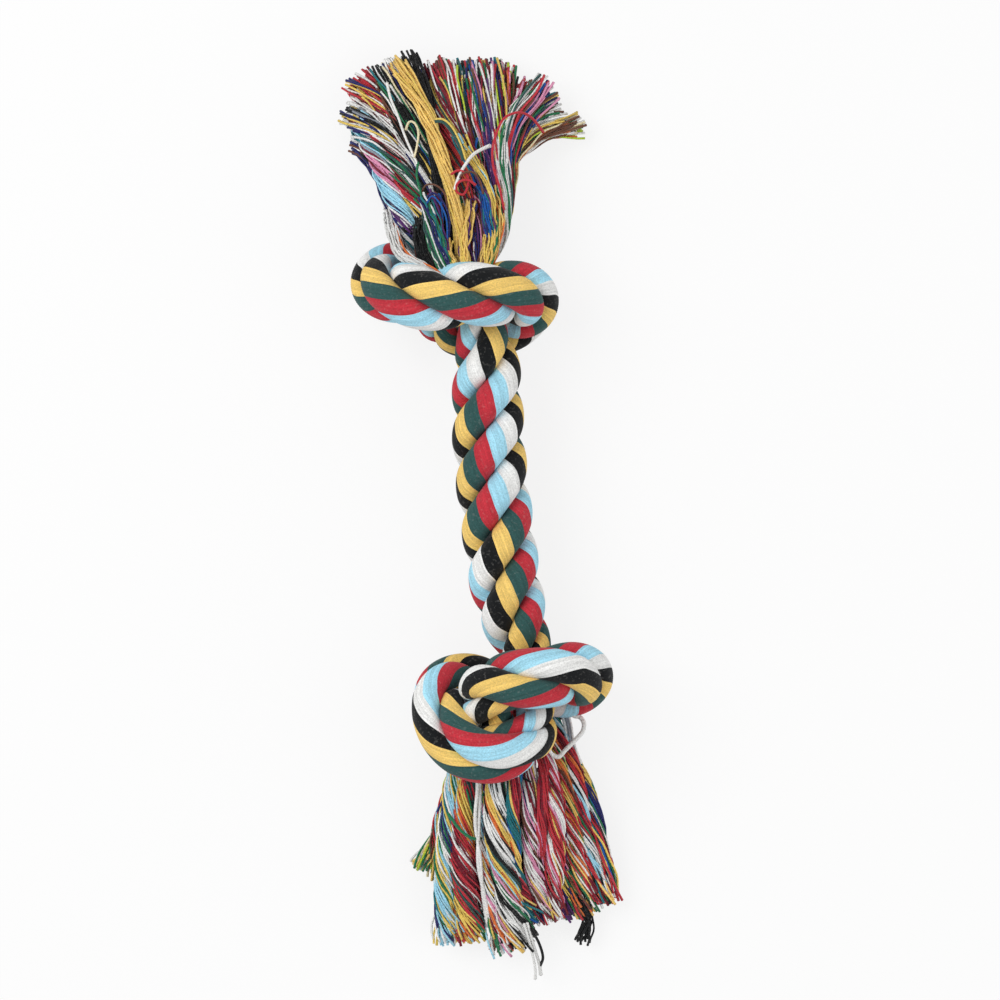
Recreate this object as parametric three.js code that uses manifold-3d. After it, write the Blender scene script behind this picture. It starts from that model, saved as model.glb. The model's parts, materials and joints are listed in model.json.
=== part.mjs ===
// Rope dog toy: a three-strand cotton rope with an overhand knot near each end, and each rope end
// unlaid into a tassel of yarn locks. Millimetres, +Z up. The toy lies on the plane z = 0 with its
// length along Y, and the origin is below the middle of its box.
import * as THREE from "three";
import { mergeVertices } from "three/addons/utils/BufferGeometryUtils.js";
import Module from "manifold-3d";

const wasm = await Module();
wasm.setup();

// Rope
const ROPE_DIAMETER = 21.5;
const LAY_LENGTH = 47; // rope length in which a strand goes once round
const LAY_START = 0; // turn of the first strand at the upper rope end, radians
const STRAND_NAMES = ["a", "b", "c"];
const STRAND_SPREAD = 1.3; // a slanting strand, cut square to the rope, is this much wider than it is deep
const STRAND_CLEARANCE = 0.6; // between neighbouring strands
const CUT_CLEARANCE = 0.3; // between two lengths of one strand, and where a lock meets its neck
const STRAND_SIDES = 8;
const STRAND_STEP = 4; // rope length between two rings of a strand

// Layout
const KNOT_X = -5.5; // the middles of both knots lie on this line
const KNOT_SPAN = 137.5; // from the middle of one knot to the middle of the other
const KNOT_MIDDLE_Y = 1.75; // halfway between the knots
const REST_DEPTH = 1; // the lowest strands are pressed flat by this much where the toy lies

// Bends of the straight rope between the knots
const BEND_OFFSET = 21; // from halfway between the knots to the middle of a bend
const BEND_LENGTH = 12;

// Tassels
const NECK_WIDTH = 8.6; // at the face where the locks start
const NECK_HEIGHT = 13;
const NECK_CLEARANCE = 0.8; // between neighbouring necks
const NECK_SIDES = 10;
const NECK_STEPS = 4;
const LOCKS_ACROSS = 2; // beside each other on a neck
const LOCK_LAYERS = 2; // above each other on a neck
const LOCK_CLEARANCE = 0.8; // between neighbouring locks at their roots
const LOCK_DIAMETER = 6.4; // at the thickest place
const LOCK_TIP_DIAMETER = 4.4;
const LOCK_SWELL = 1.5; // 1 puts the thickest place halfway along, and more puts it nearer the tip
const LOCK_ARCH = 0.35; // how long a lock keeps the direction of its neck, as a share of its length
const LOCK_SIDES = 7;
const LOCK_STEPS = 8;

// Loose yarn
const YARN_DIAMETER = 1.5;
const YARN_SIDES = 6;
const YARN_STEPS = 16;

// Route of the rope through a knot, in rope diameters from the knot's middle, with z from the plane
// that the toy lies on. The fourth number is how full the rope is there: the runs that are hidden
// inside a knot are squeezed. The upper knot shows its single bar, the lower one its two-part side.
const UPPER_KNOT_ROUTE = [
  [-0.33, 0.74, 1.2, 0.66],
  [-0.27, 0.33, 1.16, 0.6],
  [-0.36, -0.06, 0.88, 0.6],
  [-0.27, -0.45, 0.53, 0.7],
  [0.17, -0.58, 0.37, 0.82],
  [0.63, -0.55, 0.44, 0.9],
  [1.0, -0.4, 0.78, 0.9],
  [1.1, -0.24, 1.24, 0.9],
  [0.92, -0.14, 1.66, 0.94],
  [0.5, -0.11, 1.89, 0.98],
  [-0.5, -0.03, 1.89, 0.98],
  [-0.92, 0.12, 1.66, 0.94],
  [-1.11, 0.29, 1.24, 0.9],
  [-1.01, 0.45, 0.78, 0.9],
  [-0.64, 0.57, 0.44, 0.9],
  [-0.17, 0.55, 0.37, 0.82],
  [0.22, 0.4, 0.54, 0.7],
  [0.33, 0.07, 0.9, 0.6],
  [0.29, -0.33, 1.12, 0.6],
  [0.33, -0.85, 1.18, 0.88],
  [0.3, -1.3, 1.17, 1.04],
];
const LOWER_KNOT_ROUTE = [
  [0.17, 1.45, 1.08, 1.04],
  [0.26, 1.0, 1.05, 0.85],
  [0.3, 0.58, 1.13, 0.62],
  [0.28, 0.19, 1.24, 0.6],
  [0.31, -0.2, 1.43, 0.66],
  [0.09, -0.47, 1.7, 0.8],
  [-0.38, -0.58, 1.86, 0.9],
  [-0.84, -0.42, 1.79, 0.9],
  [-1.13, 0.02, 1.46, 0.86],
  [-1.05, 0.47, 1.02, 0.88],
  [-0.63, 0.46, 0.6, 0.94],
  [-0.07, 0.17, 0.4, 0.93],
  [0.5, 0.14, 0.47, 0.92],
  [0.95, 0.24, 0.81, 0.93],
  [1.11, 0.36, 1.24, 0.9],
  [0.94, 0.46, 1.66, 0.92],
  [0.53, 0.44, 1.96, 0.94],
  [0.05, 0.37, 2.02, 0.9],
  [-0.3, 0.25, 1.82, 0.74],
  [-0.35, 0, 1.42, 0.57],
  [-0.32, -0.34, 1.14, 0.58],
  [-0.3, -0.46, 1.05, 0.62],
];
// Route of the slack rope between the knots, which is fuller than in them. The second number is how far
// along from halfway between the knots, as a share of the span between them.
const SHAFT_ROUTE = [
  [0.22, 0.2, 1.16, 1.08],
  [0.16, 0.1, 1.14, 1.09],
  [0.14, 0, 1.12, 1.09],
  [0.13, -0.1, 1.1, 1.09],
  [0.13, -0.2, 1.09, 1.08],
];
const ROUTE_SPAN_STEPS = 16; // points along the curve between two chosen points
const ROUTE_STEP = 1;
const ROUTE_EASING = 20; // passes that even out the bends

// Middle of each tassel's neck face, from the middle of the rope's end
const UPPER_NECK_FACE = { sideways: 5.1, outwards: 9.1, up: 1.2 };
const LOWER_NECK_FACE = { sideways: 2.45, outwards: 14.25, up: -0.6 };

// Lock tips from left to right as [sideways and outwards from the knot's middle, gap to the plane],
// a lower lock and the upper one beside it in turn
const UPPER_LOCK_TIPS = [
  [-27.5, 54, 0.8],
  [-23, 72, 10.8],
  [-15.5, 77, 0.8],
  [-8, 79.5, 10.8],
  [-3, 77.5, 0.8],
  [5.5, 76.5, 11.8],
  [16, 75, 0.8],
  [22.5, 75, 11.8],
  [28, 72, 0.8],
  [31, 68, 10.8],
  [48.5, 50, 0.8],
  [43.5, 62, 10.8],
];
const LOWER_LOCK_TIPS = [
  [-38.5, 49, 0.8],
  [-34.5, 72, 9.8],
  [-25.5, 75, 0.8],
  [-17.5, 78, 10.8],
  [-13.5, 76, 0.8],
  [-7.5, 83.5, 10.8],
  [-1, 71, 0.8],
  [5.5, 75, 10.8],
  [11, 78.5, 0.8],
  [14.5, 71, 9.8],
  [24, 65, 0.8],
  [24, 66.5, 10.8],
];

// Loose yarn beside the lower knot, in rope diameters as the knots' routes are
const LOOSE_YARN_ROUTE = [
  [0.885, -0.165, 0.845],
  [1.025, -0.44, 0.835],
  [0.9, -0.7, 0.93],
  [0.725, -0.8, 1.025],
  [0.525, -0.81, 1.115],
  [0.4, -0.68, 1.165],
];

// Sizes that follow from the ones above
const ROPE_RADIUS = ROPE_DIAMETER / 2;
// An oval strand touches its neighbours on planes through the rope's middle, 60 degrees to each side
const TOUCHING_SHARE = Math.hypot(Math.sin(Math.PI / 3), STRAND_SPREAD * Math.cos(Math.PI / 3));
const TOUCHING_DEPTH = ROPE_RADIUS / (1 + TOUCHING_SHARE / Math.sin(Math.PI / 3));
const HELIX_RADIUS = ROPE_RADIUS - TOUCHING_DEPTH;
const STRAND_DEPTH = TOUCHING_DEPTH - STRAND_CLEARANCE / 2;
const STRAND_WIDTH = STRAND_DEPTH * STRAND_SPREAD;
const UPPER_KNOT_Y = KNOT_MIDDLE_Y + KNOT_SPAN / 2;
const LOWER_KNOT_Y = KNOT_MIDDLE_Y - KNOT_SPAN / 2;
const NECK_PITCH = NECK_WIDTH + NECK_CLEARANCE;
const LOCK_PITCH = NECK_PITCH / LOCKS_ACROSS;
const LOCK_ROOT_DIAMETER = LOCK_PITCH - LOCK_CLEARANCE;
const UP = new THREE.Vector3(0, 0, 1);
const SIDEWAYS = new THREE.Vector3(1, 0, 0);

// A point given in rope diameters from a place on the knots' line
function beside(lineY, [x, y, z]) {
  return new THREE.Vector3(
    KNOT_X + x * ROPE_DIAMETER,
    lineY + y * ROPE_DIAMETER,
    z * ROPE_DIAMETER - REST_DEPTH,
  );
}

// Points of a smooth curve through the chosen points, each with its fullness as w
function denseRoute() {
  const chosen = [...UPPER_KNOT_ROUTE, ...SHAFT_ROUTE, ...LOWER_KNOT_ROUTE];
  const between = ([x, share, z]) => beside(KNOT_MIDDLE_Y, [x, (share * KNOT_SPAN) / ROPE_DIAMETER, z]);
  const curve = new THREE.CatmullRomCurve3([
    ...UPPER_KNOT_ROUTE.map((point) => beside(UPPER_KNOT_Y, point)),
    ...SHAFT_ROUTE.map(between),
    ...LOWER_KNOT_ROUTE.map((point) => beside(LOWER_KNOT_Y, point)),
  ]);
  const spans = chosen.length - 1;
  const dense = [];
  for (let i = 0; i <= spans * ROUTE_SPAN_STEPS; i++) {
    const along = i / ROUTE_SPAN_STEPS;
    const before = Math.min(Math.floor(along), spans - 1);
    const { x, y, z } = curve.getPoint(along / spans);
    const fullness = THREE.MathUtils.lerp(chosen[before][3], chosen[before + 1][3], along - before);
    dense.push(new THREE.Vector4(x, y, z, fullness));
  }
  return dense;
}

// The same route at even steps, with its bends evened out
function evenRoute() {
  const dense = denseRoute();
  const place = (p) => new THREE.Vector3(p.x, p.y, p.z);
  const lengths = [0];
  for (let i = 1; i < dense.length; i++)
    lengths.push(lengths[i - 1] + place(dense[i]).distanceTo(place(dense[i - 1])));
  const steps = Math.round(lengths.at(-1) / ROUTE_STEP);
  let even = [];
  let after = 1;
  for (let i = 0; i <= steps; i++) {
    const wanted = (lengths.at(-1) * i) / steps;
    while (after < dense.length - 1 && lengths[after] < wanted) after++;
    const share = (wanted - lengths[after - 1]) / (lengths[after] - lengths[after - 1]);
    even.push(dense[after - 1].clone().lerp(dense[after], share));
  }
  for (let pass = 0; pass < ROUTE_EASING; pass++)
    even = even.map((p, i) =>
      i === 0 || i === steps
        ? p
        : even[i - 1].clone().add(even[i + 1]).addScaledVector(p, 2).multiplyScalar(0.25),
    );
  return even;
}

// Frames along the rope that turn no more than its bends make them
function ropeFrames() {
  const even = evenRoute();
  const place = (i) => new THREE.Vector3(even[i].x, even[i].y, even[i].z);
  const last = even.length - 1;
  let normal = UP.clone();
  let length = 0;
  return even.map((p, i) => {
    const centre = place(i);
    const tangent = place(Math.min(i + 1, last)).sub(place(Math.max(i - 1, 0))).normalize();
    normal = normal.clone().addScaledVector(tangent, -normal.dot(tangent)).normalize();
    const binormal = tangent.clone().cross(normal);
    length += i === 0 ? 0 : centre.distanceTo(place(i - 1));
    return { centre, tangent, normal, binormal, fullness: p.w, length };
  });
}

const FRAMES = ropeFrames();
const ROPE_LENGTH = FRAMES.at(-1).length;

// The frame at a length along the rope, between the two nearest ones
function frameAt(length) {
  let after = FRAMES.findIndex((frame) => frame.length >= length);
  if (after < 1) after = after < 0 ? FRAMES.length - 1 : 1;
  const a = FRAMES[after - 1];
  const b = FRAMES[after];
  const share = (length - a.length) / (b.length - a.length);
  return {
    centre: a.centre.clone().lerp(b.centre, share),
    tangent: a.tangent.clone().lerp(b.tangent, share).normalize(),
    normal: a.normal.clone().lerp(b.normal, share).normalize(),
    binormal: a.binormal.clone().lerp(b.binormal, share).normalize(),
    fullness: THREE.MathUtils.lerp(a.fullness, b.fullness, share),
  };
}

// Length along the rope at which its straight run between the knots passes the given Y
function lengthAtY(y) {
  const reach = BEND_OFFSET + BEND_LENGTH;
  const straight = FRAMES.filter((frame) => Math.abs(frame.centre.y - KNOT_MIDDLE_Y) < reach);
  const after = straight.findIndex((frame) => frame.centre.y <= y);
  const a = straight[after - 1];
  const b = straight[after];
  return THREE.MathUtils.mapLinear(y, a.centre.y, b.centre.y, a.length, b.length);
}

// Points of an ellipse round a centre, from the first axis towards the second
function ellipse(centre, first, firstRadius, second, secondRadius, sides) {
  return Array.from({ length: sides }, (_, i) => {
    const angle = (2 * Math.PI * i) / sides;
    return centre
      .clone()
      .addScaledVector(first, firstRadius * Math.cos(angle))
      .addScaledVector(second, secondRadius * Math.sin(angle));
  });
}

// A closed skin over rings that follow each other, each going round its direction of travel
function skin(rings) {
  const sides = rings[0].length;
  const index = [];
  for (let r = 0; r + 1 < rings.length; r++)
    for (let i = 0; i < sides; i++) {
      const here = r * sides + i;
      const next = r * sides + ((i + 1) % sides);
      index.push(here, next, here + sides, next, next + sides, here + sides);
    }
  const end = (rings.length - 1) * sides;
  for (let i = 1; i + 1 < sides; i++) {
    index.push(0, i + 1, i);
    index.push(end, end + i, end + i + 1);
  }
  const geometry = new THREE.BufferGeometry();
  geometry.setAttribute(
    "position",
    new THREE.Float32BufferAttribute(rings.flat().flatMap((p) => p.toArray()), 3),
  );
  geometry.setIndex(index);
  return geometry;
}

// Middle, outward and sideways directions, and half sizes of a strand at a length along the rope
function strandAt(length, strand) {
  const frame = frameAt(length);
  const turn = LAY_START + 2 * Math.PI * (length / LAY_LENGTH + strand / STRAND_NAMES.length);
  const turned = (angle) =>
    frame.normal
      .clone()
      .multiplyScalar(Math.cos(angle))
      .addScaledVector(frame.binormal, Math.sin(angle));
  const outward = turned(turn);
  return {
    centre: frame.centre.clone().addScaledVector(outward, HELIX_RADIUS * frame.fullness),
    outward,
    tangential: turned(turn + Math.PI / 2),
    tangent: frame.tangent,
    depth: STRAND_DEPTH * frame.fullness,
    width: STRAND_WIDTH * frame.fullness,
  };
}

// One strand between two lengths along the rope
function strandGeometry(strand, from, to) {
  const steps = Math.max(2, Math.ceil((to - from) / STRAND_STEP));
  const rings = Array.from({ length: steps + 1 }, (_, i) => {
    const at = strandAt(THREE.MathUtils.lerp(from, to, i / steps), strand);
    return ellipse(at.centre, at.outward, at.depth, at.tangential, at.width, STRAND_SIDES);
  });
  return skin(rings);
}

function solidOf(geometry) {
  return new wasm.Manifold(
    new wasm.Mesh({
      numProp: 3,
      vertProperties: new Float32Array(geometry.getAttribute("position").array),
      triVerts: new Uint32Array(geometry.index.array),
    }),
  );
}

// A geometry with everything below the plane of rest cut away
function pressedFlat(geometry) {
  geometry.computeBoundingBox();
  const box = geometry.boundingBox.clone().expandByScalar(ROPE_DIAMETER);
  const size = box.getSize(new THREE.Vector3());
  const middle = box.getCenter(new THREE.Vector3());
  const below = new THREE.BoxGeometry(size.x, size.y, ROPE_DIAMETER);
  below.translate(middle.x, middle.y, -ROPE_DIAMETER / 2);
  below.deleteAttribute("normal");
  below.deleteAttribute("uv");
  const cut = solidOf(geometry).subtract(solidOf(mergeVertices(below))).getMesh();
  const flat = new THREE.BufferGeometry();
  flat.setAttribute("position", new THREE.BufferAttribute(cut.vertProperties, 3));
  flat.setIndex(new THREE.BufferAttribute(cut.triVerts, 1));
  return flat;
}

const COTTON = { roughness: 0.95, metalness: 0 };
const STRAND_COLOURS = { a: 0xe0b85a, b: 0xb52c3a, c: 0x86c2dc };
const LOCK_COLOURS = [0xd8d8d4, 0xb52c3a, 0xe0b85a, 0x2c4b46, 0x34508c, 0x86c2dc];
const YARN_COLOUR = 0xf0f0ec;

const toy = new THREE.Group();

function addPiece(name, geometry, colour) {
  const piece = new THREE.Mesh(geometry, new THREE.MeshStandardMaterial({ color: colour, ...COTTON }));
  piece.name = name;
  toy.add(piece);
}

// The three strands, each in five lengths that meet in the bends
function addStrands() {
  const bendEdges = (middle) => [middle + BEND_LENGTH / 2, middle - BEND_LENGTH / 2].map(lengthAtY);
  const [upperBendStart, upperBendEnd] = bendEdges(KNOT_MIDDLE_Y + BEND_OFFSET);
  const [lowerBendStart, lowerBendEnd] = bendEdges(KNOT_MIDDLE_Y - BEND_OFFSET);
  const half = CUT_CLEARANCE / 2;
  const stretches = [
    ["upper_knot", 0, upperBendStart - half],
    ["upper_bend", upperBendStart + half, upperBendEnd - half],
    ["shaft", upperBendEnd + half, lowerBendStart - half],
    ["lower_bend", lowerBendStart + half, lowerBendEnd - half],
    ["lower_knot", lowerBendEnd + half, ROPE_LENGTH],
  ];
  for (const [stretch, from, to] of stretches)
    STRAND_NAMES.forEach((letter, strand) => {
      const geometry = strandGeometry(strand, from, to);
      const rests = stretch.endsWith("knot");
      addPiece(
        stretch + "_strand_" + letter,
        rests ? pressedFlat(geometry) : geometry,
        STRAND_COLOURS[letter],
      );
    });
}

// A neck: the unlaid end of one strand, which widens from the strand to its share of the neck face
function neckGeometry(strandEnd, startDirection, faceDirection, faceMiddle) {
  const start = strandEnd.centre.clone().addScaledVector(startDirection, CUT_CLEARANCE);
  const rings = [];
  for (let i = 0; i <= NECK_STEPS; i++) {
    const share = i / NECK_STEPS;
    const growth = share * share;
    const direction = startDirection.clone().lerp(faceDirection, share).normalize();
    const first = SIDEWAYS.clone().addScaledVector(direction, -SIDEWAYS.dot(direction)).normalize();
    const second = direction.clone().cross(first);
    const centre = start.clone().lerp(faceMiddle, share);
    const width = THREE.MathUtils.lerp(strandEnd.depth, NECK_WIDTH / 2, growth);
    const height = THREE.MathUtils.lerp(strandEnd.depth, NECK_HEIGHT / 2, growth);
    rings.push(ellipse(centre, first, width, second, height, NECK_SIDES));
  }
  return skin(rings);
}

// A lock: a bundle of yarns that leaves its neck straight and then bends to its tip
function lockGeometry(root, direction, tip) {
  const reach = root.distanceTo(tip) * LOCK_ARCH;
  const path = new THREE.QuadraticBezierCurve3(root, root.clone().addScaledVector(direction, reach), tip);
  const rings = [];
  for (let i = 0; i <= LOCK_STEPS; i++) {
    const share = i / LOCK_STEPS;
    const tangent = i === 0 ? direction.clone() : path.getTangent(share);
    const first = SIDEWAYS.clone().addScaledVector(tangent, -SIDEWAYS.dot(tangent)).normalize();
    const second = tangent.clone().cross(first);
    const ends = THREE.MathUtils.lerp(LOCK_ROOT_DIAMETER, LOCK_TIP_DIAMETER, share);
    const swell = Math.sin(Math.PI * share ** LOCK_SWELL);
    const radius = THREE.MathUtils.lerp(ends, LOCK_DIAMETER, swell) / 2;
    rings.push(ellipse(path.getPoint(share), first, radius, second, radius, LOCK_SIDES));
  }
  return skin(rings);
}

// Both kinds of tassel piece at one end of the rope: the necks of its strands, and locks on each
function addTassel({ end, knotY, ropeLength, outwardsAlongRope, face, tips }) {
  const direction = new THREE.Vector3(0, Math.sign(knotY - KNOT_MIDDLE_Y), 0);
  const ropeEnd = frameAt(ropeLength);
  const startDirection = ropeEnd.tangent.clone().multiplyScalar(outwardsAlongRope);
  const faceMiddle = ropeEnd.centre
    .clone()
    .addScaledVector(SIDEWAYS, face.sideways)
    .addScaledVector(direction, face.outwards)
    .addScaledVector(UP, face.up);
  const ends = STRAND_NAMES.map((letter, strand) => ({ letter, ...strandAt(ropeLength, strand) }));
  ends.sort((p, q) => p.centre.x - q.centre.x);
  ends.forEach((strandEnd, slot) => {
    const aside = (slot - (ends.length - 1) / 2) * NECK_PITCH;
    const slotMiddle = faceMiddle.clone().addScaledVector(SIDEWAYS, aside);
    addPiece(
      end + "_neck_strand_" + strandEnd.letter,
      neckGeometry(strandEnd, startDirection, direction, slotMiddle),
      STRAND_COLOURS[strandEnd.letter],
    );
  });
  const columns = tips.length / LOCK_LAYERS;
  tips.forEach(([sideways, outwards, gap], i) => {
    const column = Math.floor(i / LOCK_LAYERS) - (columns - 1) / 2;
    const layer = (i % LOCK_LAYERS) - (LOCK_LAYERS - 1) / 2;
    const root = faceMiddle
      .clone()
      .addScaledVector(SIDEWAYS, column * LOCK_PITCH)
      .addScaledVector(direction, CUT_CLEARANCE)
      .addScaledVector(UP, (layer * NECK_HEIGHT) / LOCK_LAYERS);
    const tipY = knotY + direction.y * outwards;
    const tip = new THREE.Vector3(KNOT_X + sideways, tipY, gap + LOCK_TIP_DIAMETER / 2);
    const name = end + "_lock_" + String(i + 1).padStart(2, "0");
    addPiece(name, lockGeometry(root, direction, tip), LOCK_COLOURS[i % LOCK_COLOURS.length]);
  });
}

// A single yarn pulled out of the lower knot
function addLooseYarn() {
  const path = new THREE.CatmullRomCurve3(LOOSE_YARN_ROUTE.map((point) => beside(LOWER_KNOT_Y, point)));
  const frames = path.computeFrenetFrames(YARN_STEPS);
  const rings = frames.normals.map((normal, i) =>
    ellipse(
      path.getPointAt(i / YARN_STEPS),
      normal,
      YARN_DIAMETER / 2,
      frames.binormals[i],
      YARN_DIAMETER / 2,
      YARN_SIDES,
    ),
  );
  addPiece("loose_yarn", skin(rings), YARN_COLOUR);
}

addStrands();
addTassel({
  end: "upper",
  knotY: UPPER_KNOT_Y,
  ropeLength: 0,
  outwardsAlongRope: -1,
  face: UPPER_NECK_FACE,
  tips: UPPER_LOCK_TIPS,
});
addTassel({
  end: "lower",
  knotY: LOWER_KNOT_Y,
  ropeLength: ROPE_LENGTH,
  outwardsAlongRope: 1,
  face: LOWER_NECK_FACE,
  tips: LOWER_LOCK_TIPS,
});
addLooseYarn();

export default toy;
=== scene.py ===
"""Looks of a knotted cotton rope dog toy: striped strands laid into a rope, and tassels of loose yarn."""

import json
import math

import bpy
import numpy as np
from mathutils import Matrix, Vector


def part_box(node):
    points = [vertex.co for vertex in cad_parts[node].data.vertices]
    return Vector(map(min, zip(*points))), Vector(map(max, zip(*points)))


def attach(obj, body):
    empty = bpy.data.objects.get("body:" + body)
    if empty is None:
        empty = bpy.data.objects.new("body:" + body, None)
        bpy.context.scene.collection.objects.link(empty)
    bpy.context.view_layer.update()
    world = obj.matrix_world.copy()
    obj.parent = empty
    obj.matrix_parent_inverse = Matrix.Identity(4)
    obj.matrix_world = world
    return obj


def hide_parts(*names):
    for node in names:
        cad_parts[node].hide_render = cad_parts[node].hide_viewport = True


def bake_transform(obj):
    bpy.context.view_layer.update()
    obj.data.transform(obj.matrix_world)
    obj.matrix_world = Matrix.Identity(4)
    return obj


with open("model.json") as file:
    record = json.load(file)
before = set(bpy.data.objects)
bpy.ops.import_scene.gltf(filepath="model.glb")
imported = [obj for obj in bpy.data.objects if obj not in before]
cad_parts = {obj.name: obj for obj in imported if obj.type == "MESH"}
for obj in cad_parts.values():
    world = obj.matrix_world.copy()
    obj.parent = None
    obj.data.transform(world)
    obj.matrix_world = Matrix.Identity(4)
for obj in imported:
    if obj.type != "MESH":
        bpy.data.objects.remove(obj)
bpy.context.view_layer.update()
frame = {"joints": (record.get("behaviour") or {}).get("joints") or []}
MM = 0.001
UP = (0.0, 0.0, 1.0)
UPRIGHT_NUDGE = (1e-6, 0.0, 0.0)  # gives a yarn that runs straight up a sideways direction

# Rope, with lengths in metres
ROPE_DIAMETER = 21.5 * MM
LAY_LENGTH = 47 * MM
STRAND_NAMES = "abc"
STRAND_SPREAD = 1.3  # width of a strand's oval section over its depth
STRAND_GIRTH = 1.06  # the soft strands press on each other where they touch
ROUTE_STEP = 1 * MM
ROUTE_SPAN_STEPS = 16
ROUTE_EASING = 20  # times that the bends of the rope are evened out
OVAL_STEPS = 720

# Layout, in metres
KNOT_X = -5.5 * MM
KNOT_SPAN = 137.5 * MM
KNOT_MIDDLE_Y = 1.75 * MM
REST_DEPTH = 1 * MM  # how far the floor presses in the soft rope
UPPER_KNOT_Y = KNOT_MIDDLE_Y + KNOT_SPAN / 2
LOWER_KNOT_Y = KNOT_MIDDLE_Y - KNOT_SPAN / 2

# Route of the rope through each knot: sideways and along in rope diameters from the knot's middle,
# height in rope diameters above the floor, and how full the rope is there
UPPER_KNOT_ROUTE = [
    (-0.33, 0.74, 1.2, 0.66), (-0.27, 0.33, 1.16, 0.6), (-0.36, -0.06, 0.88, 0.6),
    (-0.27, -0.45, 0.53, 0.7), (0.17, -0.58, 0.37, 0.82), (0.63, -0.55, 0.44, 0.9),
    (1.0, -0.4, 0.78, 0.9), (1.1, -0.24, 1.24, 0.9), (0.92, -0.14, 1.66, 0.94),
    (0.5, -0.11, 1.89, 0.98), (-0.5, -0.03, 1.89, 0.98), (-0.92, 0.12, 1.66, 0.94),
    (-1.11, 0.29, 1.24, 0.9), (-1.01, 0.45, 0.78, 0.9), (-0.64, 0.57, 0.44, 0.9),
    (-0.17, 0.55, 0.37, 0.82), (0.22, 0.4, 0.54, 0.7), (0.33, 0.07, 0.9, 0.6), (0.29, -0.33, 1.12, 0.6),
    (0.33, -0.85, 1.18, 0.9), (0.3, -1.3, 1.17, 1.04),
]
LOWER_KNOT_ROUTE = [
    (0.17, 1.45, 1.08, 1.04), (0.26, 1.0, 1.05, 0.87), (0.3, 0.58, 1.13, 0.66), (0.28, 0.19, 1.24, 0.6),
    (0.31, -0.2, 1.43, 0.66), (0.09, -0.47, 1.7, 0.8), (-0.38, -0.58, 1.86, 0.9),
    (-0.84, -0.42, 1.79, 0.9), (-1.13, 0.02, 1.46, 0.86), (-1.05, 0.47, 1.02, 0.88),
    (-0.63, 0.46, 0.6, 0.94), (-0.07, 0.17, 0.4, 0.93), (0.5, 0.14, 0.47, 0.92),
    (0.95, 0.24, 0.81, 0.93), (1.11, 0.36, 1.24, 0.9), (0.94, 0.46, 1.66, 0.92),
    (0.53, 0.48, 1.96, 0.94), (0.03, 0.46, 2.02, 0.92), (-0.33, 0.46, 1.84, 0.86),
    (-0.43, 0.1, 1.46, 0.84), (-0.38, -0.34, 1.14, 0.7), (-0.3, -0.46, 1.05, 0.62),
]
# Route of the slack rope between the knots: how far along is a share of the span between them
SHAFT_ROUTE = [
    (0.22, 0.2, 1.16, 1.08), (0.16, 0.1, 1.14, 1.09), (0.14, 0, 1.12, 1.09), (0.13, -0.1, 1.1, 1.09),
    (0.13, -0.2, 1.09, 1.08),
]
# Route of the loose yarn beside the lower knot, in rope diameters too
LOOSE_YARN_ROUTE = [
    (0.8, 0.04, 0.87), (0.83, -0.13, 0.85), (0.88, -0.23, 0.86), (0.96, -0.26, 0.88),
    (1.01, -0.35, 0.92), (0.98, -0.47, 0.96), (0.83, -0.6, 1.01), (0.68, -0.71, 1.06),
    (0.55, -0.8, 1.11), (0.45, -0.74, 1.13), (0.42, -0.63, 1.17), (0.43, -0.55, 1.19),
]

# Lay of the strands where the rope is stretched over the front of a knot: length along the rope in
# millimetres, and the extra turn there in radians
LAY_EASE = [
    (60, 0.0), (84, 0.56), (128, -0.56), (165, 0.0), (346, 0.0), (362, -1.45), (386, -3.1), (452, -3.1),
    (466, -2.9), (474, -3.15), (482, -3.6), (498, -3.95), (506, -3.7),
]

# Colour slivers round a strand, and the yarns that show in each
STRIPES = ["black", "mustard", "bottle", "red", "sky", "white"]
YARNS_PER_STRIPE = 8
COLUMNS_PER_YARN = 2
COLUMNS = len(STRIPES) * YARNS_PER_STRIPE * COLUMNS_PER_YARN
ROW_STEP = 0.8 * MM
YARN_GROOVE = 0.13 * MM
STRIPE_TINT = (0.9, 1.08)  # the darkest and the lightest yarn of a sliver
STRIPES_PER_TURN = 14.35  # slivers that pass the outside of a strand while it goes once round the rope
OUTER_CROWDING = 0.1  # how much narrower a sliver is on the outside of the rope than on average
# Sliver that faces out on each strand at the start of the rope
STRIPE_START = (5.33, 0.345, 1.26)
# Length along the rope in millimetres, and how far the knots turn the slivers of each strand on there
STRIPE_EASE = [
    (76, (-0.74, -0.61, 4.0)), (92, (-0.74, -0.61, 3.4)), (110, (-0.74, -0.61, 2.49)),
    (135, (-0.74, 0.39, 2.49)), (158, (-0.74, 0.39, 2.49)), (200, (0.0, 0.0, 0.0)),
    (310, (0.0, 0.0, 0.0)), (338, (-2.0, -0.5, 2.1)), (364, (-2.8, -2.1, 1.6)),
    (384, (-3.4, -2.9, 0.75)), (401, (-4.2, -2.7, 1.35)), (426, (-4.8, -1.4, 1.5)),
    (452, (-5.4, -1.95, 1.6)), (460, (-5.4, -1.95, 2.05)), (468, (-5.4, -1.95, 3.05)),
    (485, (-5.25, -1.85, 3.1)), (495, (-5.0, -2.1, 3.3)), (501, (-5.0, -3.0, 3.4)),
]

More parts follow.
